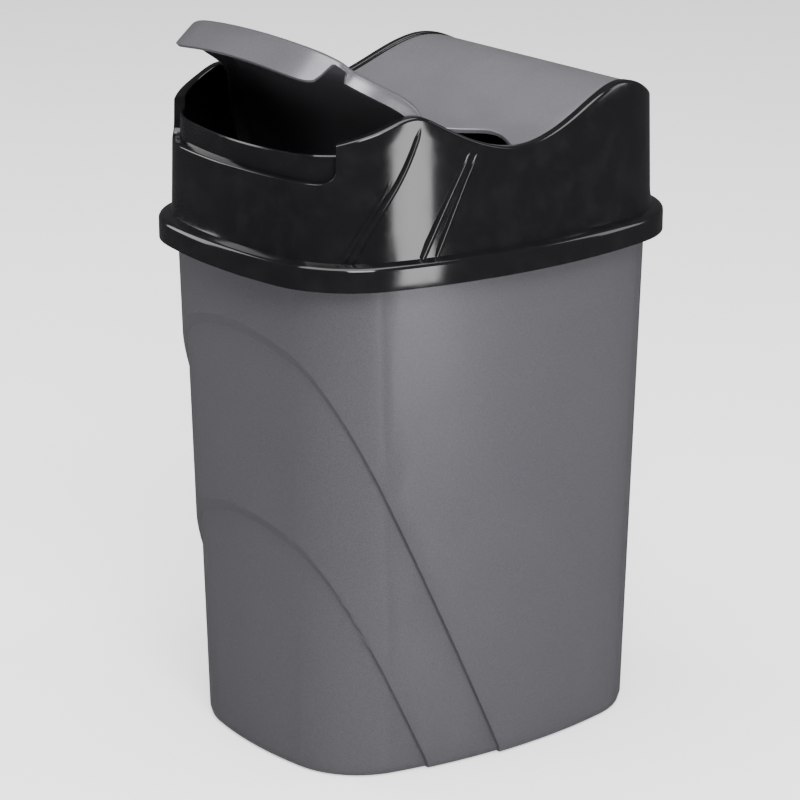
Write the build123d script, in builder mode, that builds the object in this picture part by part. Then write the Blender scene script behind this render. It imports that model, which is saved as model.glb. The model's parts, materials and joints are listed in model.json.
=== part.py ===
"""Kitchen bin with a lift-off lid and a swinging front flap.

A tapered bucket carries a black lid frame. In the frame's wavy rim sit a fixed
rear panel and a flap that swings on two trunnions moulded on its sides.
Millimetres, +Z up. The origin is on the floor under the middle of the bucket,
and the mouth faces -Y. The flap is drawn closed, then swung to its open pose.
"""
import os
from math import hypot, sqrt

from build123d import *

os.makedirs("parts", exist_ok=True)

# Outline of the lid's flange: four wide arcs joined by four corner arcs
flange_half_width = 115.5
flange_half_depth = 140.7
flange_front_radius = 335.0
flange_side_radius = 356.0
flange_corner_radius = 60.0

# Bucket
bucket_foot_half_width = 98.0
bucket_foot_half_depth = 125.0
bucket_foot_front_radius = 260.0
bucket_foot_side_radius = 353.0
bucket_foot_corner_radius = 57.0
bucket_height = 311.4
bucket_rim_inset = 10.8
bucket_wall = 2.2
bucket_floor = 3.0
foot_recess = 2.5
foot_ring_width = 9.0
foot_edge_height = 5.0
foot_edge_inset = 3.2
rim_lip_width = 6.2
rim_lip_thickness = 2.0
rim_lip_turndown = 7.0

# Wave steps pressed into the bucket's front
wave_step = 2.9
wave_slope = 2.17
upper_wave_height = 258.0
lower_wave_height = 154.0
wave_edge_round = 1.6

# Lid frame
lid_seat_gap = 0.2
flange_height = 14.0
flange_wall = 2.4
flange_edge_round = 3.0
ledge_width = 7.7
frame_wall = 2.4
frame_draft = 0.026
locating_gap = 0.7
locating_skirt_depth = 8.0
rim_band_width = 6.5
rim_band_thickness = 2.6
panel_shelf_width = 4.5
panel_shelf_thickness = 2.2
front_wall_height = 44.5
front_ledge_width = 4.4
upstand_wall = 2.2
upstand_height = 18.0
recess_depth_from_front = 17.0
recess_corner_round = 8.0

# Wave of the rim seen from the side: distance behind the front of the flange, height above its top
rim_wave = [
    (26.2, 66.5),
    (50.7, 74.8),
    (72.7, 79.6),
    (83.7, 74.6),
    (100.7, 65.8),
    (140.7, 56.4),
    (180.7, 68.0),
    (206.7, 78.8),
    (224.7, 82.6),
    (272.7, 73.0),
]

# Raised fins on the sides of the frame: foot and tip, each a back and a front distance
fin_height = 1.3
front_fin = {"foot": (33.6, 29.2), "tip": (74.7, 68.7), "tip_height": 78.0}
rear_fin = {"foot": (80.2, 71.0), "tip": (106.7, 102.2), "tip_height": 57.5}

# Rear panel and the seam between it and the flap
panel_thickness = 2.5
panel_sink = 1.2
panel_side_gap = 0.6
panel_seat_gap = 0.1
seam_gap = 1.2
seam_tongue = 124.0
seam_side = 136.2
seam_bay = 149.0
seam_tongue_half_width = 24.0
seam_neck_half_width = 41.0
seam_bay_half_width = 60.0
clip_width = 12.0
clip_wall = 1.6
clip_hook = 1.0
clip_hook_height = 2.0
clip_play = 0.3
clip_places = (172.0, 214.0)

# Flap
flap_wall = 2.2
flap_side_gap = 1.0
flap_front_gap = 0.3
flap_ledge_gap = 0.6
flap_rise = 2.6
flap_skirt = 10.0
skirt_relief = 12.0
flap_edge_round = 4.0
flap_open_angle = 50.0
hinge_back = 76.7
hinge_height = 72.0
trunnion_radius = 3.0
trunnion_play = 0.06
trunnion_end_gap = 0.4
boss_radius = 6.2
boss_bore_depth = 4.6

# Worked out from the sizes above
flange_bottom = bucket_height + lid_seat_gap + flange_wall - flange_height
flange_top = flange_bottom + flange_height
deck_bottom = flange_top - flange_wall
front_y = -flange_half_depth
hinge_y = front_y + hinge_back
hinge_z = flange_top + hinge_height
frame_loft_top = flange_top + 1.2 * max(height for _, height in rim_wave)
ledge_z = flange_top + front_wall_height
far = 2.0 * flange_half_depth


def outline(half_width, half_depth, front_radius, side_radius, corner_radius):
    """Closed outline of four wide arcs and four corner arcs, all tangent."""
    front_centre = Vector(0, front_radius - half_depth)
    side_centre = Vector(half_width - side_radius, 0)
    between = side_centre - front_centre
    from_front = front_radius - corner_radius
    from_side = side_radius - corner_radius
    along = (from_front**2 - from_side**2 + between.length**2) / (2 * between.length)
    across = sqrt(from_front**2 - along**2)
    step = between.normalized()
    corner = front_centre + step * along + Vector(-step.Y, step.X) * across
    if corner.X < 0 or corner.Y > 0:
        corner = front_centre + step * along - Vector(-step.Y, step.X) * across
    toward_front = (corner - front_centre).normalized()
    toward_side = (corner - side_centre).normalized()
    on_front = corner + toward_front * corner_radius
    on_side = corner + toward_side * corner_radius
    on_corner = corner + (toward_front + toward_side).normalized() * corner_radius
    with BuildSketch() as face:
        with BuildLine():
            ThreePointArc((0, -half_depth), arc_middle(front_centre, on_front, front_radius), on_front)
            ThreePointArc(on_front, on_corner, on_side)
            ThreePointArc(on_side, arc_middle(side_centre, on_side, side_radius, True), (half_width, 0))
            mirror(about=Plane.XZ)
            mirror(about=Plane.YZ)
        make_face()
    return face.sketch


def arc_middle(centre, end, radius, is_side=False):
    """Point halfway along the arc from an axis of the outline to the given end."""
    axis_point = Vector(1, 0) if is_side else Vector(0, -1)
    half_way = (axis_point + (end - centre).normalized()).normalized()
    return centre + half_way * radius


def flange_outline(inset):
    """The flange's outline, moved inward by the given amount."""
    return outline(
        flange_half_width - inset,
        flange_half_depth - inset,
        flange_front_radius - inset,
        flange_side_radius - inset,
        flange_corner_radius - inset,
    )


def bucket_outline(height, inset):
    """The bucket's outer outline at a height, moved inward by the given amount."""
    rise = height / bucket_height
    foot = (
        bucket_foot_half_width,
        bucket_foot_half_depth,
        bucket_foot_front_radius,
        bucket_foot_side_radius,
        bucket_foot_corner_radius,
    )
    rim = (
        flange_half_width,
        flange_half_depth,
        flange_front_radius,
        flange_side_radius,
        flange_corner_radius,
    )
    sizes = [low + (high - bucket_rim_inset - low) * rise - inset for low, high in zip(foot, rim)]
    return outline(*sizes)


def frame_inset(height):
    """How far the frame's outer wall stands inside the flange's outline."""
    return ledge_width + frame_draft * (height - flange_top)


def prism(make_outline, bottom, top, inset):
    """Solid between two heights on an outline that may change with the height."""
    with BuildPart() as solid:
        with BuildSketch(Plane.XY.offset(bottom)):
            add(make_outline(bottom, inset))
        with BuildSketch(Plane.XY.offset(top)):
            add(make_outline(top, inset))
        loft(ruled=True)
    return solid.part


def frame_outline(height, inset):
    return flange_outline(frame_inset(height) + inset)


def straight_outline(height, inset):
    return flange_outline(inset)


def frame_solid(inset, bottom=deck_bottom):
    """The frame's drafted outer form, moved inward by the given amount."""
    return prism(frame_outline, bottom, frame_loft_top, inset)


def frame_ring(outer, inner):
    """Drafted ring between two insets from the frame's outer wall."""
    with BuildPart() as ring:
        add(frame_solid(outer))
        add(frame_solid(inner), mode=Mode.SUBTRACT)
    return ring.part


def flat_ring(outer, inner, bottom, top):
    """Straight ring between two insets from the flange's outline."""
    with BuildPart() as ring:
        add(prism(straight_outline, bottom, top, outer))
        add(prism(straight_outline, bottom, top, inner), mode=Mode.SUBTRACT)
    return ring.part


def side_prism(points):
    """Polygon of (y, z) points seen from the side, run through the whole width."""
    with BuildPart() as solid:
        with BuildSketch(Plane.YZ):
            with BuildLine():
                Polyline(*points, close=True)
            make_face()
        extrude(amount=far, both=True)
    return solid.part


def under_wave(wave, drop):
    """All that lies below a wave line lowered by a drop, run through the whole width."""
    line = [(front_y + back, flange_top + height - drop) for back, height in wave]
    first = line[0]
    last = line[-1]
    low = flange_bottom - flange_height
    with BuildPart() as solid:
        with BuildSketch(Plane.YZ):
            with BuildLine():
                Spline(*line)
                Polyline(last, (far, last[1]), (far, low), (-far, low), (-far, first[1]), first)
            make_face()
        extrude(amount=far, both=True)
    return solid.part


def wave_strip(wave, top_drop, bottom_drop):
    """Sheet that follows a wave line, between two drops below it."""
    with BuildPart() as strip:
        add(under_wave(wave, top_drop))
        add(under_wave(wave, bottom_drop), mode=Mode.SUBTRACT)
    return strip.part


def behind_wave_plane(apex, shift):
    """Space above and behind a wave's cutting plane, moved back by a shift."""
    rise = apex + shift * hypot(1, wave_slope)
    start = -bucket_foot_half_depth
    high = rise + wave_slope * (far + start)
    foot = start + (rise + bucket_height) / wave_slope
    return side_prism([(-far, high), (-far, 2 * high), (far, 2 * high), (far, -bucket_height), (foot, -bucket_height)])


def bucket_layer(bottom, top, inset, foot_inset):
    """One layer of the bucket's form, its foot edge turned in by the foot inset."""
    with BuildPart() as layer:
        for height, turned_in in ((0, 1.0), (foot_edge_height / 4, 0.35), (foot_edge_height, 0)):
            with BuildSketch(Plane.XY.offset(bottom + height)):
                add(bucket_outline(bottom + height, inset + turned_in * foot_inset))
        with BuildSketch(Plane.XY.offset(top)):
            add(bucket_outline(top, inset))
        loft(ruled=True)
    return layer.part


def stepped_body(bottom, top, inset, shift):
    """The bucket's form with both wave steps, moved inward by an inset."""
    with BuildPart() as body:
        add(bucket_layer(bottom, top, inset + 2 * wave_step, foot_edge_inset))
        with BuildPart(mode=Mode.PRIVATE) as middle:
            add(bucket_layer(bottom, top, inset + wave_step, foot_edge_inset))
            add(behind_wave_plane(lower_wave_height, shift), mode=Mode.INTERSECT)
        add(middle.part)
        with BuildPart(mode=Mode.PRIVATE) as outer:
            add(bucket_layer(bottom, top, inset, foot_edge_inset))
            add(behind_wave_plane(upper_wave_height, shift), mode=Mode.INTERSECT)
        add(outer.part)
    return body.part


def seam_region(gap):
    """Plan of the flap's side of the seam, its edge moved forward by a gap."""
    edge = flange_half_width
    side = front_y + seam_side - gap
    bay = front_y + seam_bay - gap
    tongue = front_y + seam_tongue - gap
    neck = (bay + tongue) / 2
    right = [
        (edge, side - (bay - side) / 2),
        ((edge + seam_bay_half_width) / 2, (side + bay) / 2),
        (seam_bay_half_width, bay),
        (seam_neck_half_width, neck),
        (seam_tongue_half_width, tongue),
    ]
    left = [(-x, y) for x, y in reversed(right)]
    with BuildPart() as region:
        with BuildSketch(Plane.XY.offset(flange_bottom)):
            with BuildLine():
                Spline(*right, *left)
                Polyline(left[-1], (-far, left[-1][1]), (-far, -far), (far, -far), (far, right[0][1]), right[0])
            make_face()
        extrude(amount=far)
    return region.part


def inner_x(place, inset):
    """Half width inside the frame at the hinge's height, at a distance behind the front."""
    radius = flange_side_radius - frame_inset(hinge_z) - inset
    centre = flange_half_width - flange_side_radius
    return centre + sqrt(radius**2 - (front_y + place) ** 2)


flap_edge = rim_band_width + flap_side_gap
skirt_x = inner_x(hinge_back, flap_edge)
boss_x = inner_x(hinge_back + boss_radius, rim_band_width)
bore_end_x = boss_x + boss_bore_depth

# Bucket
with BuildPart() as bucket:
    add(stepped_body(0, bucket_height, 0, 0))
    add(
        stepped_body(foot_recess + bucket_floor, bucket_height + bucket_wall, bucket_wall, bucket_wall),
        mode=Mode.SUBTRACT,
    )
    add(
        prism(bucket_outline, -bucket_floor, foot_recess, foot_ring_width + 2 * wave_step),
        mode=Mode.SUBTRACT,
    )
    with BuildPart(mode=Mode.PRIVATE) as rim_lip:
        add(prism(bucket_outline, bucket_height - rim_lip_turndown, bucket_height, -rim_lip_width))
        add(
            prism(
                bucket_outline,
                bucket_height - rim_lip_turndown,
                bucket_height - rim_lip_thickness,
                rim_lip_thickness - rim_lip_width,
            ),
            mode=Mode.SUBTRACT,
        )
        add(
            prism(bucket_outline, bucket_height - rim_lip_turndown, bucket_height, bucket_wall / 2),
            mode=Mode.SUBTRACT,
        )
    add(rim_lip.part)
bucket.part.label = "bucket"
export_step(bucket.part, "parts/bucket.step")

# Lid frame
recess_y = front_y + ledge_width + recess_depth_from_front
upstand_outer = front_ledge_width
upstand_inner = front_ledge_width + upstand_wall
locating_outer = bucket_rim_inset + bucket_wall + locating_gap
locating_inner = locating_outer + frame_wall

with BuildPart() as front_recess:
    with BuildSketch(Plane.YZ) as recess_face:
        with Locations((recess_y, ledge_z)):
            Rectangle(far, far, align=(Align.MAX, Align.MIN))
        fillet(recess_face.vertices().group_by(Axis.X)[-1].sort_by(Axis.Y)[:1], recess_corner_round)
    extrude(amount=far, both=True)

with BuildPart() as lid_frame:
    add(prism(straight_outline, flange_bottom, flange_top, 0))
    fillet(lid_frame.faces().sort_by(Axis.Z)[-1].edges(), flange_edge_round)
    add(prism(straight_outline, flange_bottom, deck_bottom, flange_wall), mode=Mode.SUBTRACT)
    add(prism(straight_outline, flange_bottom, flange_top, locating_inner), mode=Mode.SUBTRACT)
    add(flat_ring(locating_outer, locating_inner, deck_bottom - locating_skirt_depth, deck_bottom))
    with BuildPart(mode=Mode.PRIVATE) as frame_wall_ring:
        add(frame_ring(0, frame_wall))
        with BuildPart(mode=Mode.PRIVATE) as rim_band:
            add(frame_ring(frame_wall / 2, rim_band_width))
            add(wave_strip(rim_wave, 0, rim_band_thickness), mode=Mode.INTERSECT)
        add(rim_band.part)
        with BuildPart(mode=Mode.PRIVATE) as panel_shelf:
            add(frame_ring(frame_wall / 2, rim_band_width + panel_shelf_width))
            shelf_top = panel_sink + panel_thickness + panel_seat_gap
            add(wave_strip(rim_wave, shelf_top, shelf_top + panel_shelf_thickness), mode=Mode.INTERSECT)
            add(seam_region(-seam_gap), mode=Mode.SUBTRACT)
        add(panel_shelf.part)
        for fin in (front_fin, rear_fin):
            foot_back, foot_front = fin["foot"]
            tip_back, tip_front = fin["tip"]
            tip_z = flange_top + fin["tip_height"]
            with BuildPart(mode=Mode.PRIVATE) as fin_solid:
                add(frame_ring(-fin_height, frame_wall / 2))
                add(
                    side_prism(
                        [
                            (front_y + foot_front, flange_top),
                            (front_y + foot_back, flange_top),
                            (front_y + tip_back, tip_z),
                            (front_y + tip_front, tip_z),
                        ]
                    ),
                    mode=Mode.INTERSECT,
                )
            add(fin_solid.part)
        add(under_wave(rim_wave, 0), mode=Mode.INTERSECT)
        add(front_recess.part, mode=Mode.SUBTRACT)
    add(frame_wall_ring.part)
    with BuildPart(mode=Mode.PRIVATE) as front_ledge:
        add(frame_ring(frame_wall / 2, upstand_inner))
        add(
            side_prism(
                [
                    (-far, ledge_z - frame_wall),
                    (-far, ledge_z),
                    (recess_y + frame_wall, ledge_z),
                    (recess_y + frame_wall, ledge_z - frame_wall),
                ]
            ),
            mode=Mode.INTERSECT,
        )
    add(front_ledge.part)
    with BuildPart(mode=Mode.PRIVATE) as upstand:
        add(frame_ring(upstand_outer, upstand_inner))
        add(
            side_prism(
                [
                    (-far, ledge_z - frame_wall),
                    (-far, ledge_z + upstand_height),
                    (recess_y + frame_wall, ledge_z + upstand_height),
                    (recess_y + frame_wall, ledge_z - frame_wall),
                ]
            ),
            mode=Mode.INTERSECT,
        )
    add(upstand.part)
    for side in (-1, 1):
        with BuildSketch(Plane(origin=(side * boss_x, hinge_y, hinge_z), z_dir=(side, 0, 0))):
            Circle(boss_radius)
        extrude(amount=inner_x(hinge_back, frame_wall / 2) - boss_x)
        with BuildSketch(Plane(origin=(side * skirt_x, hinge_y, hinge_z), z_dir=(side, 0, 0))):
            Circle(trunnion_radius + trunnion_play)
        extrude(amount=bore_end_x - skirt_x, mode=Mode.SUBTRACT)
lid_frame.part.label = "lid_frame"
export_step(lid_frame.part, "parts/lid_frame.step")

# Rear panel
panel_edge = rim_band_width + panel_side_gap
with BuildPart() as rear_panel:
    add(frame_solid(panel_edge))
    add(wave_strip(rim_wave, panel_sink, panel_sink + panel_thickness), mode=Mode.INTERSECT)
    add(seam_region(0), mode=Mode.SUBTRACT)
    clip_outer = rim_band_width + panel_shelf_width + clip_play
    under_shelf = shelf_top + panel_shelf_thickness + clip_play
    with BuildPart(mode=Mode.PRIVATE) as clips:
        with BuildPart(mode=Mode.PRIVATE) as clip_legs:
            add(frame_ring(clip_outer, clip_outer + clip_wall))
            add(
                wave_strip(rim_wave, panel_sink + panel_thickness / 2, under_shelf + clip_hook_height),
                mode=Mode.INTERSECT,
            )
        add(clip_legs.part)
        with BuildPart(mode=Mode.PRIVATE) as clip_hooks:
            add(frame_ring(clip_outer - clip_hook, clip_outer + clip_wall / 2))
            add(wave_strip(rim_wave, under_shelf, under_shelf + clip_hook_height), mode=Mode.INTERSECT)
        add(clip_hooks.part)
        with BuildPart(mode=Mode.PRIVATE) as clip_zone:
            for place in clip_places:
                with Locations((0, front_y + place, flange_top)):
                    Box(far, clip_width, far)
        add(clip_zone.part, mode=Mode.INTERSECT)
    add(clips.part)
rear_panel.part.label = "rear_panel"
export_step(rear_panel.part, "parts/rear_panel.step")

# Flap, drawn closed
shoulder_y = recess_y - flap_side_gap
skirt_bottom = ledge_z + flap_ledge_gap
above_upstand = ledge_z + upstand_height + flap_side_gap
flap_wave = [(ledge_width, rim_wave[0][1] - flap_rise)] + [
    (back, height + flap_rise * max(0.0, 1 - (back - rim_wave[0][0]) / (hinge_back - rim_wave[0][0])) - flap_side_gap)
    for back, height in rim_wave[:7]
]


def in_front_of(place_y, bottom):
    """Space in front of a plane across the bin and above a height."""
    return side_prism([(-far, bottom), (-far, far + bottom), (place_y, far + bottom), (place_y, bottom)])


def flap_form(inset, drop):
    """The closed flap's form: a full-width front and a body between the rim bands."""
    with BuildPart() as form:
        with BuildPart(mode=Mode.PRIVATE) as front:
            add(frame_solid(flap_front_gap + inset))
            add(in_front_of(shoulder_y - inset, skirt_bottom - inset), mode=Mode.INTERSECT)
        add(front.part)
        with BuildPart(mode=Mode.PRIVATE) as middle:
            add(frame_solid(flap_edge + inset))
            add(in_front_of(far, skirt_bottom - inset), mode=Mode.INTERSECT)
        add(middle.part)
        add(under_wave(flap_wave, drop), mode=Mode.INTERSECT)
    return form.part


with BuildPart() as flap_closed:
    add(flap_form(0, 0))
    add(seam_region(seam_gap), mode=Mode.INTERSECT)
    add(flap_form(flap_wall, flap_wall), mode=Mode.SUBTRACT)
    with BuildPart(mode=Mode.PRIVATE) as under_skirt:
        add(frame_solid(flap_front_gap + flap_wall))
        add(in_front_of(recess_y + skirt_relief, skirt_bottom - flap_wall), mode=Mode.INTERSECT)
        add(under_wave([(back, above_upstand - flange_top) for back, _ in flap_wave], 0), mode=Mode.INTERSECT)
    add(under_skirt.part, mode=Mode.SUBTRACT)
    with BuildPart(mode=Mode.PRIVATE) as under_sides:
        add(frame_solid(-far / 100))
        add(under_wave(flap_wave, flap_skirt), mode=Mode.INTERSECT)
        add(in_front_of(shoulder_y, skirt_bottom - far), mode=Mode.SUBTRACT)
    add(under_sides.part, mode=Mode.SUBTRACT)
    for side in (-1, 1):
        stub_root = skirt_x - flap_wall / 2
        with BuildSketch(Plane(origin=(side * stub_root, hinge_y, hinge_z), z_dir=(side, 0, 0))):
            Circle(trunnion_radius)
        extrude(amount=bore_end_x - trunnion_end_gap - stub_root)

with BuildPart() as flap:
    add(flap_closed.part.rotate(Axis((0, hinge_y, hinge_z), (1, 0, 0)), -flap_open_angle))
flap.part.label = "flap"
export_step(flap.part, "parts/flap.step")

print("hinge", round(hinge_y, 2), round(hinge_z, 2), "flange", flange_bottom, flange_top)
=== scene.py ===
"""Studio view of a kitchen bin with a swinging flap.

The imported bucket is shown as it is, with its edges rounded. The lid's frame,
rear panel and flap are rebuilt here as finer meshes with rounded edges, round
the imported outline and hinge. The rear of the rim and the rear panel lie lower
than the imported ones. Shapes are worked out in millimetres and made in metres;
+Z is up, -Y is the bin's front and +X its left-hand side.
"""
import json
from math import cos, pi, radians, sin, sqrt

import bmesh
import bpy
import numpy as np
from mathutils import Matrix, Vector
from mathutils.geometry import delaunay_2d_cdt


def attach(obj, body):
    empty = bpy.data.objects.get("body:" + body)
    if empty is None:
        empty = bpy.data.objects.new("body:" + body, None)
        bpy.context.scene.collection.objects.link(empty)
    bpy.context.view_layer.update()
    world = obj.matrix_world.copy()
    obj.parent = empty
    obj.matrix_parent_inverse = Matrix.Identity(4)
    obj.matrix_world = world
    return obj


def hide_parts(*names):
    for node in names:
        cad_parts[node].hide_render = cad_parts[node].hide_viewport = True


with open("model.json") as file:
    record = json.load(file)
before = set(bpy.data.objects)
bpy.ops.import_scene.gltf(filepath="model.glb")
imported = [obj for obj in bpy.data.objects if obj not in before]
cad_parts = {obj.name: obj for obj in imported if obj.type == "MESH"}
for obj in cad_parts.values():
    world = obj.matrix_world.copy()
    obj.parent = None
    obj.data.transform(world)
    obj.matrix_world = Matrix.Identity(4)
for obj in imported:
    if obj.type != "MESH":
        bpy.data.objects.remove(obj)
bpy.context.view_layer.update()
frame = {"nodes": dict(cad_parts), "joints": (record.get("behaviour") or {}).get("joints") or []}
mm = 0.001

# Camera, fitted to the outlines of the photographed bin
view_azimuth = radians(53.217)
view_elevation = radians(17.333)
view_distance = 1.9391
view_side_shift = -0.00714
view_height = 0.19453
focal_length_px = 3227.8
image_width_px = 800
sensor_width_mm = 36.0

# Hinge, as packed
hinge = next(joint for joint in frame["joints"] if joint["name"] == "flap_hinge")
hinge_y = hinge["pos_m"][1] / mm
hinge_z = hinge["pos_m"][2] / mm
open_angle = -radians(hinge["range_deg"][0])

# Fineness of the meshes
merge_distance = 1e-6
sharp_angle = radians(38)
arc_steps = 6
small_arc_steps = 4
wall_rows = 10
frame_places = 440
outline_samples = 40001
half_samples = 20001
ridge_places = 40
ridge_sides = 14
hinge_sides = 32
loop_spacing = 1.2
fill_spacing = 5.0
fill_margin = 1.2
fill_tolerance = 1e-6
walk_samples = 900
seam_samples = 120

# Lid frame
flange_half_width = 115.46
flange_half_depth = 140.7
flange_front_radius = 335.0
flange_side_radius = 356.0
flange_corner_radius = 60.0
flange_bottom = 300.0
flange_top = 314.0
flange_wall = 2.4
flange_round = 3.0
deck_bottom = flange_top - flange_wall
ledge_width = 7.7
draft = 0.026
wall = 2.4
foot_round = 1.2
rim_round = 2.0
rim_band = 6.5
rim_lip_round = 0.7
rim_lip_bevel = rim_lip_round / 3
rim_lip = 2.6
rim_band_rows = (0.5, 0.7)
skirt_outer = 13.7
skirt_inner = 16.1
skirt_bottom = 303.6
ledge_z = 358.5
ledge_round = 1.0
ledge_depth = 4.4
upstand_wall = 2.2
upstand_round = 0.7
upstand_middle = 13.2
upstand_end_rise = 2.6
upstand_half_width = 80.0
front_bend_y = -125.0
recess_y = -113.4
recess_corner = 8.0
jamb_places = (0.05, -0.05, -1.0, -2.0, -3.5, -5.0, -6.5, -8.0)

# Wave of the rim: distance behind the front of the flange, height above its top
rim_wave = [
    (-25.0, 40.0),
    (2.0, 54.5),
    (26.2, 66.5),
    (50.7, 74.8),
    (72.7, 79.6),
    (83.7, 74.6),
    (100.7, 65.8),
    (140.7, 56.4),
    (180.7, 68.0),
    (208.3, 79.5),
    (219.7, 81.4),
    (235.2, 78.6),
    (251.1, 70.9),
    (272.7, 59.5),
    (300.0, 45.0),
]

# Ridges on the frame's sides: (y, z) places from the foot up, and the radius at each end
ridges = [
    ([(-108.5, 314.5), (-97.7, 335.9), (-84.6, 355.0), (-74.5, 373.6), (-68.6, 388.0)], 2.9, 2.0),
    ([(-112.0, 314.5), (-103.0, 332.0), (-92.5, 349.5), (-86.0, 361.0)], 2.3, 1.3),
    ([(-69.3, 314.5), (-58.0, 336.0), (-47.5, 355.0), (-38.4, 371.0)], 3.0, 1.7),
    ([(-60.6, 314.5), (-51.5, 334.0), (-42.0, 354.0), (-33.8, 369.8)], 2.4, 1.6),
]
ridge_depth = 1.1
ridge_sink = 0.35
ridge_taper = 12.0
ridge_tip_share = 0.02
slope_step = 0.5

# Flap
flap_front_wave = [(-25.0, 57.9), (7.7, 65.9)]
flap_rise = 4.1
flap_gap = 1.05
flap_front_gap = 0.3
flap_wall = 2.2
flap_round = 3.6
flap_skirt = 9.5
flap_edge = 0.4
flap_level = 372.0
flap_smoothing = 14
shoulder_length = 4.0
shoulder_y = recess_y - flap_gap
tongue_corner = 7.0
tongue_gap = 0.6
tongue_step = 0.8
tongue_end_y = shoulder_y - shoulder_length - 3.0
skirt_start_y = recess_y + 1.5
skirt_start_length = 2.5
seam_thin_start = 9.0
seam_thin_length = 6.0
least_inner_round = 0.3
skirt_rows = (0.33, 0.67, 1.0)
inner_rows = (0.0, 0.5, 1.0)

# Hinge pins and bosses
boss_radius = 5.4
bore_radius = 3.06
bore_depth = 4.6
pin_radius = 3.0
pin_end_gap = 0.4

# Rear panel
panel_gap = 0.6
panel_sink = 1.2
panel_edge_height = 2.5
panel_wall = 2.3
panel_round = 0.8
panel_level = 382.0
panel_smoothing = 9

# Seam between them: x, distance behind the front of the flange
seam_gap = 1.2
seam = [(-115.5, 129.8), (-87.75, 142.6), (-60.0, 149.0), (-41.0, 136.5), (-24.0, 124.0)]
seam += [(-x, back) for x, back in reversed(seam)]
seam_outer_x = 60.0


def on_circle(azimuth, elevation, distance):
    """Place at a distance from the origin; azimuth 0 is at -Y and 90 degrees at +X."""
    x, y = sin(azimuth) * cos(elevation), -cos(azimuth) * cos(elevation)
    return distance * Vector((x, y, sin(elevation)))


def aim(item, place, target):
    """Puts an object at a place, with its -Z axis turned to a target."""
    item.location = place
    item.rotation_mode = "QUATERNION"
    item.rotation_quaternion = (target - place).to_track_quat("-Z", "Y")


class Curve:
    """Natural cubic spline through points."""

    def __init__(self, points):
        self.x, self.y = np.array(points, float).T
        step = np.diff(self.x)
        slope = np.diff(self.y) / step
        n = len(self.x)
        matrix = np.eye(n)
        right = np.zeros(n)
        for i in range(1, n - 1):
            matrix[i, i - 1 : i + 2] = step[i - 1], 2 * (step[i - 1] + step[i]), step[i]
            right[i] = 6 * (slope[i] - slope[i - 1])
        self.bend = np.linalg.solve(matrix, right)

    def __call__(self, at):
        at = np.asarray(at, float)
        i = np.clip(np.searchsorted(self.x, at) - 1, 0, len(self.x) - 2)
        width = self.x[i + 1] - self.x[i]
        left = (self.x[i + 1] - at) / width
        right = 1 - left
        curl = (left**3 - left) * self.bend[i] + (right**3 - right) * self.bend[i + 1]
        return left * self.y[i] + right * self.y[i + 1] + curl * width**2 / 6


def flap_point(back, height):
    """Point of the flap's wave under a point of the rim's, raised in front of the hinge."""
    hinge_back = hinge_y + flange_half_depth
    forward = (hinge_back - back) / (hinge_back - flap_front_wave[-1][0])
    return back, height - flap_gap + flap_rise * max(0.0, forward)


rim_curve = Curve(rim_wave)
flap_rear_wave = [flap_point(*point) for point in rim_wave if point[0] > flap_front_wave[-1][0]]
flap_curve = Curve(flap_front_wave + flap_rear_wave)
seam_curve = Curve(seam)


def rim_z(y):
    return flange_top + rim_curve(y + flange_half_depth)


def flap_z(y):
    return flange_top + flap_curve(y + flange_half_depth)


def seam_y(x, gap):
    return -flange_half_depth + seam_curve(x) - gap


# Outline of the flange, walked by the angle of its outward normal


def arc_centres():
    """Centres of the front arc, the +X side arc and the corner arc that touches both."""
    front = Vector((0, flange_front_radius - flange_half_depth))
    side = Vector((flange_half_width - flange_side_radius, 0))
    between = side - front
    from_front = flange_front_radius - flange_corner_radius
    from_side = flange_side_radius - flange_corner_radius
    along = (from_front**2 - from_side**2 + between.length**2) / (2 * between.length)
    across = sqrt(from_front**2 - along**2)
    step = between.normalized()
    beside = Vector((-step.y, step.x))
    centre = front + step * along + beside * across
    if centre.x < 0 or centre.y > 0:
        centre = front + step * along - beside * across
    return front, side, centre


front_centre, side_centre, corner_centre = arc_centres()
front_end = np.arctan2(*reversed(corner_centre - front_centre))
side_end = np.arctan2(*reversed(corner_centre - side_centre))


def outline_parts(angles):
    """Arc centres, radii and outward normals for an array of normal angles."""
    normal = np.stack([np.cos(angles), np.sin(angles)], 1)
    folded = np.arctan2(-np.abs(normal[:, 1]), np.abs(normal[:, 0]))
    centre = np.tile(np.array(corner_centre), (len(angles), 1))
    radius = np.full(len(angles), flange_corner_radius)
    centre[folded < front_end] = front_centre
    radius[folded < front_end] = flange_front_radius
    centre[folded > side_end] = side_centre
    radius[folded > side_end] = flange_side_radius
    centre[:, 0] *= np.sign(normal[:, 0])
    centre[:, 1] *= -np.sign(normal[:, 1])
    return centre, radius, normal


def outline(angles, inset):
    """Points of the outline, moved inward. The inset is one number or one for each angle."""
    centre, radius, normal = outline_parts(np.asarray(angles, float))
    return centre + (radius - inset)[:, None] * normal


def frame_inset(z):
    return ledge_width + draft * (z - flange_top)


def even_angles(count, inset):
    """Normal angles of evenly spaced outline points, from the rear round by the -X side."""
    fine = np.linspace(-1.5 * pi, 0.5 * pi, outline_samples) + 1e-7
    steps = np.linalg.norm(np.diff(outline(fine, inset), axis=0), axis=1)
    walked = np.cumsum(np.r_[0, steps])
    return np.interp(np.linspace(0, walked[-1], count, endpoint=False), walked, fine)


half_angles = np.linspace(-0.5 * pi, 0.5 * pi, half_samples)[1:-1]


def angle_at(y, inset):
    """Normal angle of the outline's point at a y place, on the +X side."""
    return np.interp(y, outline(half_angles, inset)[:, 1], half_angles)


def mirrored(half):
    """The same points on the -X side, in reverse order."""
    return half[::-1] * (-1, 1)


# Mesh building


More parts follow.
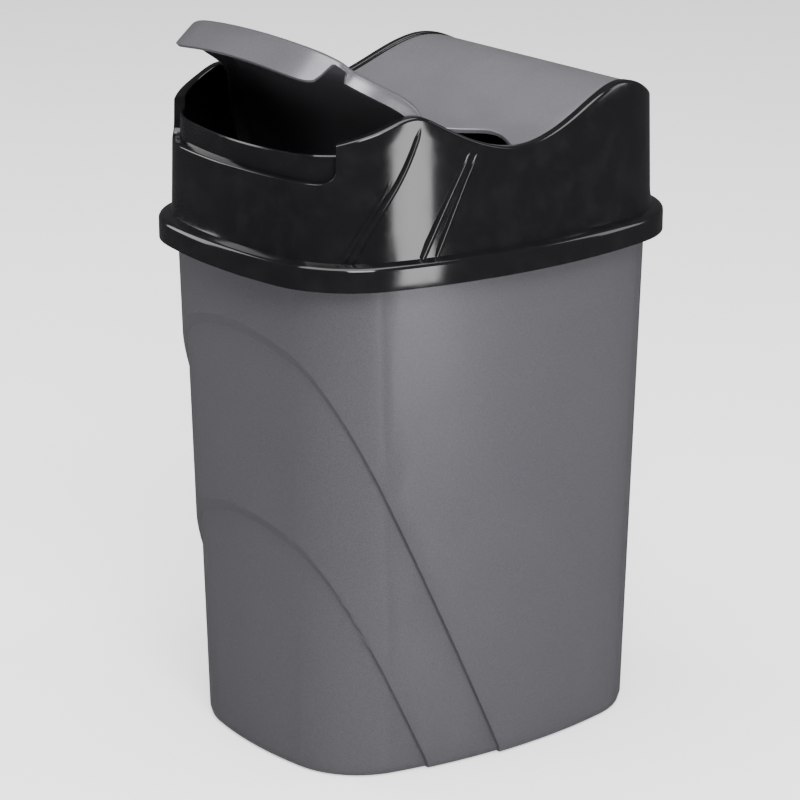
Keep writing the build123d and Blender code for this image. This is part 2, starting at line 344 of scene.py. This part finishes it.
def make_piece(name, points, faces, body, slot, *nodes):
    """Mesh piece from millimetre points, facing outward and riding on a body."""
    mesh = bpy.data.meshes.new(name)
    mesh.from_pydata([tuple(p) for p in np.asarray(points) * mm], [], faces)
    work = bmesh.new()
    work.from_mesh(mesh)
    bmesh.ops.remove_doubles(work, verts=work.verts, dist=merge_distance)
    bmesh.ops.recalc_face_normals(work, faces=work.faces)
    work.to_mesh(mesh)
    work.free()
    mesh.shade_smooth()
    mesh.set_sharp_from_angle(angle=sharp_angle)
    piece = bpy.data.objects.new(name, mesh)
    bpy.context.scene.collection.objects.link(piece)
    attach(piece, body)
    if nodes:
        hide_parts(*nodes)
    return piece


def grid_faces(rows, columns, closed_rows=True):
    """Quads of a grid of points that wraps round along each row, and from the last row if asked."""
    faces = []
    for i in range(rows if closed_rows else rows - 1):
        here, after = i * columns, (i + 1) % rows * columns
        for k in range(columns):
            beside = (k + 1) % columns
            faces.append((here + k, here + beside, after + beside, after + k))
    return faces


def quarter(steps):
    """Fractions (along, up) of a quarter circle, from (0, 0) to (1, 1)."""
    return [(1 - cos(a), sin(a)) for a in np.linspace(0, pi / 2, steps)]


# Lid frame: one cross-section swept round the outline


def upstand_top(y):
    """Height of the upstand's upper edge, lowest in the middle of the front."""
    inset = frame_inset(ledge_z)
    x = outline([angle_at(max(y, front_bend_y), inset)], inset)[0][0]
    if y < front_bend_y:
        front_y = ledge_width - flange_half_depth
        x *= sqrt(max(0.0, (y - front_y) / (front_bend_y - front_y)))
    return ledge_z + upstand_middle + upstand_end_rise * min(1.0, x / upstand_half_width) ** 2


def mouth_rows(y, ledge):
    """(depth, z) points of the ledge and upstand under the flap's tongue."""
    inner = ledge_depth + upstand_wall
    high = upstand_top(y)
    return (
        (ledge_depth, ledge),
        (ledge_depth, high - upstand_round),
        (ledge_depth + upstand_round, high),
        (inner - upstand_round, high),
        (inner, high - upstand_round),
        (inner, ledge_z - wall),
        (wall, ledge_z - wall),
    )


def rim_rows(top):
    """(depth, z) points of the rim's band and its turned-down lip."""
    return (
        *((rim_band * share, top) for share in rim_band_rows),
        (rim_band - rim_lip_round, top),
        (rim_band - rim_lip_bevel, top - rim_lip_bevel),
        (rim_band, top - rim_lip_round),
        (rim_band, top - rim_lip),
        (wall, top - rim_lip),
    )


def section(y, in_mouth):
    """Closed cross-section of the frame at a place, as (inset from the flange, z) points."""
    if in_mouth:
        short = recess_corner - min(recess_corner, abs(y - recess_y))
        top = ledge_z + recess_corner - sqrt(recess_corner**2 - short**2)
        edge = ledge_round
    else:
        top = float(rim_z(y))
        edge = rim_round
    points = [(0.0, flange_bottom)]
    for a, b in quarter(arc_steps):
        points.append((flange_round * a, flange_top - flange_round * (1 - b)))
    for a, b in reversed(quarter(small_arc_steps)):
        points.append((ledge_width - foot_round * (1 - a), flange_top + foot_round * b))

    def on_wall(depth, z):
        points.append((frame_inset(z) + depth, z))

    for z in np.linspace(flange_top + foot_round, top - edge, wall_rows)[1:-1]:
        on_wall(0, z)
    for a, b in quarter(arc_steps):
        on_wall(edge * a, top - edge + edge * b)
    for depth, z in mouth_rows(y, top) if in_mouth else rim_rows(top):
        on_wall(depth, z)
    on_wall(wall, flange_top)
    points += [
        (skirt_inner, flange_top),
        (skirt_inner, skirt_bottom),
        (skirt_outer, skirt_bottom),
        (skirt_outer, deck_bottom),
        (flange_wall, deck_bottom),
        (flange_wall, flange_bottom),
    ]
    return points


def lid_frame_piece():
    inset = frame_inset(ledge_z)
    jamb_angles = [angle_at(recess_y + distance, inset) for distance in jamb_places]
    other_side = [-pi - angle for angle in jamb_angles]
    angles = np.array(sorted([*even_angles(frame_places, inset), *jamb_angles, *other_side]))
    places = outline(angles, inset)
    sections = np.array([section(y, y < recess_y) for y in places[:, 1]])
    centre, radius, normal = outline_parts(angles)
    reach = radius[:, None] - sections[:, :, 0]
    plan = centre[:, None, :] + reach[:, :, None] * normal[:, None, :]
    points = np.concatenate([plan, sections[:, :, 1:]], 2).reshape(-1, 3)
    faces = grid_faces(len(angles), sections.shape[1])
    return make_piece("lid_frame_gloss", points, faces, "lid", "black_frame", "lid_frame")


def ridge(name, path, foot_radius, tip_radius, side):
    """Rounded ridge that lies half sunk in the frame's wall and tapers to its tip."""
    line = Curve([(z, y) for y, z in path])
    heights = np.linspace(path[0][1], path[-1][1], ridge_places)
    points = []
    for i, z in enumerate(heights):
        share = i / (ridge_places - 1)
        taper = min(1.0, sqrt(max(0.0, 1 - share) * ridge_taper + ridge_tip_share))
        size = (foot_radius + (tip_radius - foot_radius) * share) * taper
        angle = angle_at(float(line(z)), frame_inset(z))
        base = np.array([*outline([angle], frame_inset(z) + size * ridge_sink)[0], z])
        out = np.array([cos(angle), sin(angle), 0.0])
        slope = float(line(z + slope_step) - line(z - slope_step)) / (2 * slope_step)
        along = np.array([-sin(angle) * slope, cos(angle) * slope, 1.0])
        beside = np.cross(out, along / np.linalg.norm(along))
        for k in range(ridge_sides):
            turn = 2 * pi * k / ridge_sides
            depth = max(size * cos(turn), -ridge_depth)
            p = base + out * depth + beside * size * sin(turn)
            points.append((side * p[0], p[1], p[2]))
    faces = grid_faces(ridge_places, ridge_sides, closed_rows=False)
    faces += [tuple(range(ridge_sides)), tuple(range(len(points) - ridge_sides, len(points)))]
    return make_piece(name, points, faces, "lid", "black_frame")


sides = ((1, "left"), (-1, "right"))
lid = lid_frame_piece()
ridge_pieces = [
    ridge(f"ridge_{number}_{word}", *shape, side)
    for number, shape in enumerate(ridges, 1)
    for side, word in sides
]


# Flap and rear panel: a plan loop with a rounded edge and a filled top


def tidy_loop(points, smoothing):
    """Counter-clockwise loop of even steps with softened corners, and its outward normals."""

    def resample(loop):
        closed = np.vstack([loop, loop[:1]])
        walked = np.cumsum(np.r_[0, np.linalg.norm(np.diff(closed, axis=0), axis=1)])
        at = np.linspace(0, walked[-1], int(walked[-1] / loop_spacing), endpoint=False)
        return np.stack([np.interp(at, walked, closed[:, i]) for i in (0, 1)], 1)

    x, y = points.T
    if np.sum(x * np.roll(y, -1) - y * np.roll(x, -1)) < 0:
        points = points[::-1]
    points = resample(points)
    for _ in range(smoothing):
        points = 0.5 * points + 0.25 * (np.roll(points, 1, 0) + np.roll(points, -1, 0))
    points = resample(points)
    along = np.roll(points, -1, 0) - np.roll(points, 1, 0)
    along /= np.linalg.norm(along, axis=1)[:, None]
    return points, np.stack([along[:, 1], -along[:, 0]], 1)


def fill(loop, margin):
    """Inner points on a grid, and triangles over them and the loop that fill it in plan."""
    inner = []
    (low_x, low_y), (high_x, high_y) = loop.min(0), loop.max(0)
    ahead = np.roll(loop, -1, 0)
    rise = ahead[:, 1] - loop[:, 1] + 1e-12
    for x in np.arange(low_x + fill_spacing / 2, high_x, fill_spacing):
        for y in np.arange(low_y + fill_spacing / 2, high_y, fill_spacing):
            if np.min(np.hypot(loop[:, 0] - x, loop[:, 1] - y)) < margin:
                continue
            crosses = (loop[:, 1] > y) != (ahead[:, 1] > y)
            at = loop[:, 0] + (y - loop[:, 1]) * (ahead[:, 0] - loop[:, 0]) / rise
            if np.sum(crosses & (at > x)) % 2:
                inner.append((x, y))
    n = len(loop)
    corners = [Vector(p) for p in [*loop, *inner]]
    edges = [(i, (i + 1) % n) for i in range(n)]
    _, _, faces, origins, _, _ = delaunay_2d_cdt(corners, edges, [], 1, fill_tolerance)
    return np.array(inner), [tuple(origins[i][0] for i in face) for face in faces]


def opened(points):
    """Points of the closed flap, turned about the hinge into its open rest pose."""
    x, y, z = (points - (0.0, hinge_y, hinge_z)).T
    turned_y = y * cos(open_angle) + z * sin(open_angle)
    turned_z = z * cos(open_angle) - y * sin(open_angle)
    return np.column_stack([x, hinge_y + turned_y, hinge_z + turned_z])


def shell(loop, outward, top_of, low_of, edge, thick):
    """Points and faces of a shell: a top that follows a height, a rounded edge and a skirt."""
    inner_edge = max(edge - thick, least_inner_round)
    rows = []

    def row(inset, height_of):
        place = loop - outward * inset
        rows.append(np.column_stack([place, height_of(place)]))

    for a, b in reversed(quarter(arc_steps)):
        row(edge * a, lambda p: top_of(p[:, 1]) - edge * (1 - b))
    for share in skirt_rows:
        row(0, lambda p: (top_of(p[:, 1]) - edge) * (1 - share) + low_of(p) * share)
    low = low_of(loop)
    roof = np.maximum(top_of(loop[:, 1]) - thick - inner_edge, low)
    for share in inner_rows:
        row(thick, lambda p: low * (1 - share) + roof * share)
    for a, b in quarter(small_arc_steps)[1:]:
        row(thick + inner_edge * a, lambda p: top_of(p[:, 1]) - thick - inner_edge * (1 - b))
    n = len(loop)
    points = np.vstack(rows)
    faces = grid_faces(len(rows), n, closed_rows=False)
    inner, triangles = fill(loop, thick + inner_edge + fill_margin)
    for base, level in ((0, 0.0), ((len(rows) - 1) * n, thick)):
        start = len(points) - n
        points = np.vstack([points, np.column_stack([inner, top_of(inner[:, 1]) - level])])
        faces += [tuple((base if i < n else start) + i for i in face) for face in triangles]
    return points, faces


def seam_angle(inset, gap):
    """Normal angle where an inset outline crosses the seam, on the +X side."""
    points = outline(half_angles, inset)
    miss = np.abs(points[:, 1] - seam_y(points[:, 0], gap))
    miss[points[:, 0] < seam_outer_x] = np.inf
    return half_angles[np.argmin(miss)]


def seam_points(half_width, gap):
    """Points along the seam, from +X to -X."""
    x = np.linspace(half_width, -half_width, seam_samples)
    return np.column_stack([x, seam_y(x, gap)])


def flap_loop():
    """Plan of the flap: round the front at the frame's face, in at the shoulders, to the seam."""
    outer = frame_inset(flap_level) + flap_front_gap
    inner = frame_inset(flap_level) + rim_band + flap_gap
    walk = np.linspace(-0.5 * pi, seam_angle(inner, seam_gap), walk_samples)[1:]
    y = outline(walk, outer)[:, 1]
    share = np.clip((y - (shoulder_y - shoulder_length)) / shoulder_length, 0, 1)
    half = outline(walk, outer + (inner - outer) * share**2 * (3 - 2 * share))
    return tidy_loop(
        np.vstack([half, seam_points(half[-1][0], seam_gap), mirrored(half)]), flap_smoothing
    )


def panel_loop():
    """Plan of the rear panel: round the rear inside the rim's band, then along the seam."""
    inset = frame_inset(panel_level) + rim_band + panel_gap
    half = outline(np.linspace(seam_angle(inset, 0.0), 0.5 * pi, walk_samples)[:-1], inset)
    return tidy_loop(
        np.vstack([half, mirrored(half), seam_points(half[0][0], 0.0)[::-1]]), panel_smoothing
    )


def flap_low(p):
    """Lower edge of the flap: the tongue over the ledge, the side skirts and the thin rear edge."""
    y = p[:, 1]
    top = flap_z(y)
    thin = top - flap_round - flap_edge
    short = tongue_corner - np.clip(tongue_end_y - y, 0, tongue_corner)
    tongue = ledge_z + tongue_gap + tongue_corner - np.sqrt(tongue_corner**2 - short**2)
    past_tongue = np.clip((y - tongue_end_y) / tongue_step, 0, 1)
    front = tongue * (1 - past_tongue) + thin * past_tongue
    near_seam = y - (seam_y(p[:, 0], seam_gap) - seam_thin_start)
    near_seam = np.clip(near_seam / seam_thin_length, 0, 1)
    skirt = (top - flap_skirt) * (1 - near_seam) + thin * near_seam
    past_jamb = np.clip((y - skirt_start_y) / skirt_start_length, 0, 1)
    return np.minimum(front * (1 - past_jamb) + skirt * past_jamb, thin)


def panel_z(y):
    return rim_z(y) - panel_sink


def panel_low(p):
    return panel_z(p[:, 1]) - panel_edge_height


flap_points, flap_faces = shell(*flap_loop(), flap_z, flap_low, flap_round, flap_wall)
flap = make_piece("flap_satin", opened(flap_points), flap_faces, "flap", "grey_flap", "flap")
panel_shell = shell(*panel_loop(), panel_z, panel_low, panel_round, panel_wall)
panel = make_piece("rear_panel_satin", *panel_shell, "lid", "grey_panel", "rear_panel")


# Hinge pins on the flap, in blind bosses under the frame's rim


def hinge_half_width(y, inset):
    """Half width of the frame's inside at the hinge's height, at a y place."""
    radius = flange_side_radius - frame_inset(hinge_z) - inset
    return flange_half_width - flange_side_radius + sqrt(radius**2 - y**2)


def turned_piece(name, profile, side, body, slot):
    """Solid turned round the hinge's axis from a profile of (x, radius) points."""
    points = [
        (side * x, hinge_y + radius * cos(turn), hinge_z + radius * sin(turn))
        for turn in np.linspace(0, 2 * pi, hinge_sides, endpoint=False)
        for x, radius in profile
    ]
    return make_piece(name, points, grid_faces(hinge_sides, len(profile)), body, slot)


boss_x = hinge_half_width(hinge_y + boss_radius, rim_band)
boss_end_x = hinge_half_width(hinge_y, wall / 2)
bore_end_x = boss_x + bore_depth
pin_x = hinge_half_width(hinge_y, rim_band + flap_gap) - flap_wall / 2
pin_end_x = bore_end_x - pin_end_gap
boss_profile = [
    (boss_x, bore_radius),
    (boss_x, boss_radius),
    (boss_end_x, boss_radius),
    (boss_end_x, 0),
    (bore_end_x, 0),
    (bore_end_x, bore_radius),
]
pin_profile = [(pin_x, 0), (pin_x, pin_radius), (pin_end_x, pin_radius), (pin_end_x, 0)]
boss_pieces = []
pin_pieces = []
for side, word in sides:
    boss_pieces.append(turned_piece(f"boss_{word}", boss_profile, side, "lid", "black_frame"))
    pin_pieces.append(turned_piece(f"pin_{word}", pin_profile, side, "flap", "grey_flap"))


# Materials

neutral = (1.0, 1.0, 1.0)
cool = (0.97, 0.965, 1.06)


class Nodes:
    """Short way to build a node material around one Principled shader."""

    def __init__(self, name):
        self.material = bpy.data.materials.new(name)
        self.material.use_nodes = True
        self.tree = self.material.node_tree
        self.shader = self.tree.nodes["Principled BSDF"]
        self.place = self.add("ShaderNodeTexCoord").outputs["Object"]

    def add(self, kind, **values):
        """New node with its named inputs set, or linked where the value is a socket."""
        node = self.tree.nodes.new(kind)
        for key, value in values.items():
            self.feed(node, key, value)
        return node

    def feed(self, node, key, value):
        if isinstance(value, bpy.types.NodeSocket):
            self.tree.links.new(value, node.inputs[key])
        else:
            node.inputs[key].default_value = value

    def noise(self, scale, detail=2.0, roughness=0.5):
        """Noise of about 0 to 1; the scale is in waves per metre."""
        kind = "ShaderNodeTexNoise"
        node = self.add(kind, Vector=self.place, Scale=scale, Detail=detail, Roughness=roughness)
        return node.outputs["Fac"]

    def remap(self, value, low, high, to_low, to_high):
        node = self.add("ShaderNodeMapRange", Value=value)
        limits = {"From Min": low, "From Max": high, "To Min": to_low, "To Max": to_high}
        for key, number in limits.items():
            node.inputs[key].default_value = number
        return node.outputs["Result"]

    def mix(self, factor, first, second):
        """Mix of two colours, by the colour sockets of a Mix node."""
        node = self.tree.nodes.new("ShaderNodeMix")
        node.data_type = "RGBA"
        for socket, value in ((0, factor), (6, first), (7, second)):
            self.feed(node, socket, value)
        return node.outputs[2]

    def bump(self, height, distance, strength):
        node = self.add("ShaderNodeBump", Height=height, Distance=distance, Strength=strength)
        return node.outputs["Normal"]


def shade(tone, tint=cool):
    """Colour from a linear grey tone and a tint."""
    return (tone * tint[0], tone * tint[1], tone * tint[2], 1.0)


def satin_plastic(name, tone, roughness, metallic):
    """Grey plastic with fine metallic flakes and the soft grain of a spark-eroded mould."""
    n = Nodes(name)
    flakes = n.remap(n.noise(1500.0, detail=3.0, roughness=0.65), 0.40, 0.62, 0.0, 1.0)
    clouds = n.remap(n.noise(9.0, detail=3.0), 0.3, 0.7, 0.0, 0.12)
    wear = n.remap(n.noise(40.0, detail=4.0), 0.3, 0.7, roughness - 0.02, roughness + 0.03)
    base = n.mix(flakes, shade(tone * 0.88), shade(tone * 1.13))
    n.feed(n.shader, "Base Color", n.mix(clouds, base, shade(tone * 1.3)))
    n.feed(n.shader, "Roughness", wear)
    n.feed(n.shader, "Normal", n.bump(n.noise(2600.0), 0.00003, 0.3))
    n.feed(n.shader, "Metallic", metallic)
    return n.material


def gloss_plastic(name, tone, roughness, specular):
    """Polished black plastic with a moulding's slight waviness and faint handling marks."""
    n = Nodes(name)
    marks = n.remap(n.noise(70.0, detail=5.0, roughness=0.6), 0.45, 0.75, 0.0, 1.0)
    n.feed(n.shader, "Base Color", n.mix(marks, shade(tone), shade(tone * 1.5)))
    n.feed(n.shader, "Roughness", n.remap(marks, 0.0, 1.0, roughness, roughness + 0.04))
    n.feed(n.shader, "Normal", n.bump(n.noise(16.0, detail=1.0), 0.0004, 0.12))
    n.feed(n.shader, "Specular IOR Level", specular)
    return n.material


bucket = frame["nodes"]["bucket"]
gloss = gloss_plastic("gloss_black", 0.006, 0.09, 0.36)
flap_satin = satin_plastic("satin_grey_flap", 0.14, 0.34, 0.55)
looks = {
    panel: satin_plastic("satin_grey_panel", 0.17, 0.38, 0.55),
    bucket: satin_plastic("satin_grey_bucket", 0.135, 0.36, 0.6),
}
looks.update({piece: gloss for piece in [lid, *ridge_pieces, *boss_pieces]})
looks.update({piece: flap_satin for piece in [flap, *pin_pieces]})
for piece, material in looks.items():
    piece.data.materials.clear()
    piece.data.materials.append(material)

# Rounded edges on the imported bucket
weld = bucket.modifiers.new("weld", "WELD")
weld.merge_threshold = 1e-5
bevel = bucket.modifiers.new("edges", "BEVEL")
bevel.limit_method = "ANGLE"
bevel.angle_limit = radians(70)
bevel.width = 0.001
bevel.segments = 3
bevel.harden_normals = True
bevel.use_clamp_overlap = True
bevel.loop_slide = False

# Floor
floor_half_size = 8.0
floor_mesh = bpy.data.meshes.new("floor")
signs = ((-1, -1), (1, -1), (1, 1), (-1, 1))
corners = [(x * floor_half_size, y * floor_half_size, 0) for x, y in signs]
floor_mesh.from_pydata(corners, [], [(0, 1, 2, 3)])
floor = bpy.data.objects.new("floor", floor_mesh)
bpy.context.scene.collection.objects.link(floor)
paper = Nodes("pale_paper")
paper_tone = paper.mix(paper.noise(3.0), shade(0.82, neutral), shade(0.86, neutral))
paper.feed(paper.shader, "Base Color", paper_tone)
paper.feed(paper.shader, "Roughness", 0.9)
paper.feed(paper.shader, "Emission Color", shade(1.0, neutral))
paper.feed(paper.shader, "Emission Strength", 0.85)
paper.feed(paper.shader, "Specular IOR Level", 0.0)
floor_mesh.materials.append(paper.material)
floor.visible_glossy = False

# Lights: azimuth and elevation in degrees, distance, width and height in metres, power in watts
middle = Vector((0.0, 0.0, 0.22))
softboxes = {
    "strip_softbox": (98, 3, 1.3, 0.2, 0.55, 5),
    "key_softbox": (64, 40, 2.2, 0.9, 1.0, 55),
    "top_softbox": (20, 82, 2.4, 2.4, 2.4, 120),
    "left_softbox": (-62, 20, 2.2, 0.7, 1.6, 18),
    "right_softbox": (150, 20, 2.2, 0.5, 1.6, 10),
}
for name, (azimuth, elevation, distance, width, height, power) in softboxes.items():
    light = bpy.data.lights.new(name, "AREA")
    light.shape = "RECTANGLE"
    light.size = width
    light.size_y = height
    light.energy = power
    item = bpy.data.objects.new(name, light)
    bpy.context.scene.collection.objects.link(item)
    aim(item, middle + on_circle(radians(azimuth), radians(elevation), distance), middle)

world = bpy.data.worlds.new("studio")
world.use_nodes = True
background = world.node_tree.nodes["Background"]
background.inputs["Color"].default_value = (0.95, 0.95, 0.97, 1.0)
background.inputs["Strength"].default_value = 0.1
bpy.context.scene.world = world

# Camera
camera_data = bpy.data.cameras.new("photo_camera")
camera_data.sensor_width = sensor_width_mm
camera_data.lens = focal_length_px * sensor_width_mm / image_width_px
camera_data.clip_start = 0.05
camera_data.clip_end = 50.0
camera = bpy.data.objects.new("photo_camera", camera_data)
bpy.context.scene.collection.objects.link(camera)
shift_x, shift_y = view_side_shift * cos(view_azimuth), view_side_shift * sin(view_azimuth)
target = Vector((shift_x, shift_y, view_height))
aim(camera, target + on_circle(view_azimuth, view_elevation, view_distance), target)
bpy.context.scene.camera = camera
